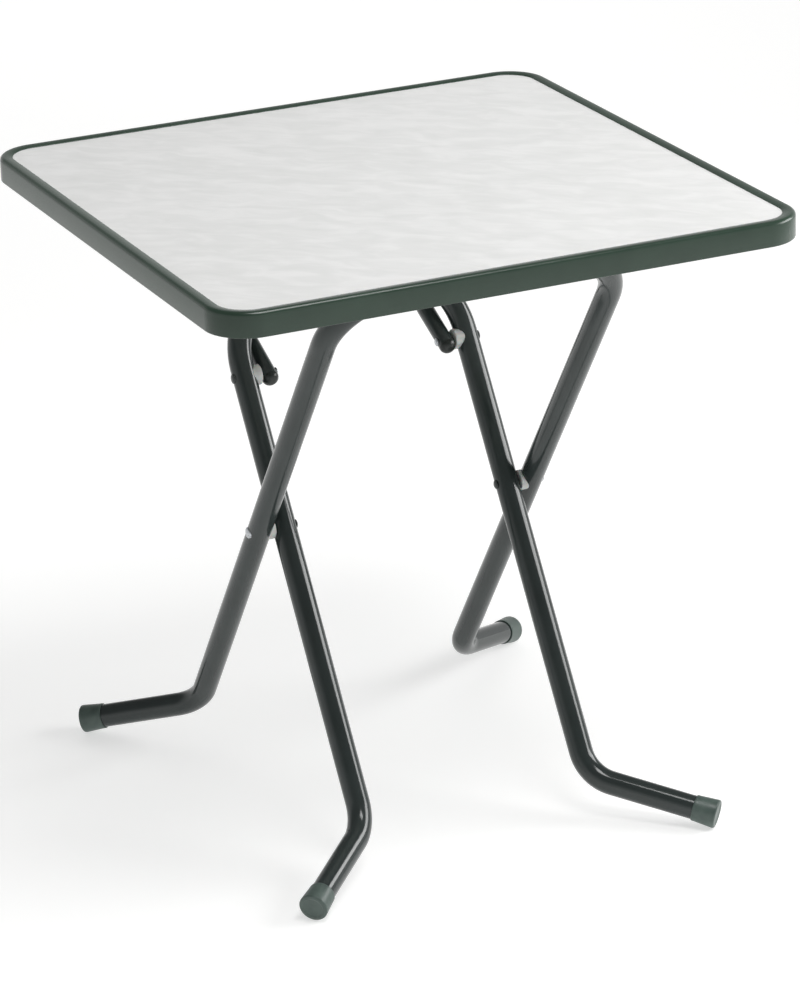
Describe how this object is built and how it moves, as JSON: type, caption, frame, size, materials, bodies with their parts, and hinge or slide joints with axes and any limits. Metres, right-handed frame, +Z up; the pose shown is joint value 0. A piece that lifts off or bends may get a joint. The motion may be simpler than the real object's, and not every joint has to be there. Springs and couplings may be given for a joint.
{
  "type": "folding card table",
  "caption": "Square laminate-topped folding table on crossed bent-tube legs with a locking stay bow, folding flat under the top.",
  "frame": {"origin": "on the floor under the middle of the top", "axes": "+X along the front edge, left to right seen from the front; +Y from the front edge to the back edge; +Z up"},
  "size_m": [0.7, 0.7, 0.734],
  "materials": {
    "laminate": "satin decorative laminate, white with faint grey marbling",
    "board_core": "particle board",
    "backing": "plain balancing sheet",
    "edge_plastic": "moulded dark green",
    "frame_enamel": "glossy dark green coating on steel tube",
    "cap_plastic": "matte green moulded caps",
    "nylon": "light grey natural nylon",
    "clip_plastic": "black green moulded clips",
    "zinc_steel": "zinc plated"
  },
  "bodies": {
    "table_top": {"top_laminate": "laminate", "top_board": "board_core", "backing_sheet": "backing", "edge_moulding": "edge_plastic", "front_clip_screws": "zinc_steel", "rear_clip_screws": "zinc_steel", "front_clip_left": "clip_plastic", "front_clip_right": "clip_plastic", "rear_clip_left": "clip_plastic", "rear_clip_right": "clip_plastic"},
    "stay_bow": {"stay_bow_tube": "frame_enamel", "stay_end_plug_left": "clip_plastic", "stay_end_plug_right": "clip_plastic"},
    "inner_frame": {"inner_frame_tube": "frame_enamel", "inner_foot_cap_left": "cap_plastic", "inner_foot_cap_right": "cap_plastic", "stay_rivet_left": "zinc_steel", "stay_rivet_right": "zinc_steel", "stay_spacer_left": "nylon", "stay_spacer_right": "nylon"},
    "outer_frame": {"outer_frame_tube": "frame_enamel", "outer_foot_cap_left": "cap_plastic", "outer_foot_cap_right": "cap_plastic", "scissor_rivet_left": "zinc_steel", "scissor_rivet_right": "zinc_steel", "scissor_spacer_left": "nylon", "scissor_spacer_right": "nylon"}
  },
  "joints": [
    {"name": "stay_fold", "type": "hinge", "parent": "table_top", "child": "stay_bow", "pos_m": [0, 0.218, 0.677], "axis": [-1, 0, 0], "range_deg": [0, 59.26]},
    {"name": "inner_frame_fold", "type": "hinge", "parent": "stay_bow", "child": "inner_frame", "pos_m": [0, 0.09978, 0.49422], "axis": [1, 0, 0], "range_deg": [0, 180.75]},
    {"name": "outer_frame_fold", "type": "hinge", "parent": "inner_frame", "child": "outer_frame", "pos_m": [0, 0, 0.344], "axis": [-1, 0, 0], "range_deg": [0, 69.04]}
  ],
  "couplings": [
    {"joint": "inner_frame_fold", "follows": "stay_fold", "ratio": 3.0491},
    {"joint": "outer_frame_fold", "follows": "stay_fold", "ratio": 1.1641}
  ]
}
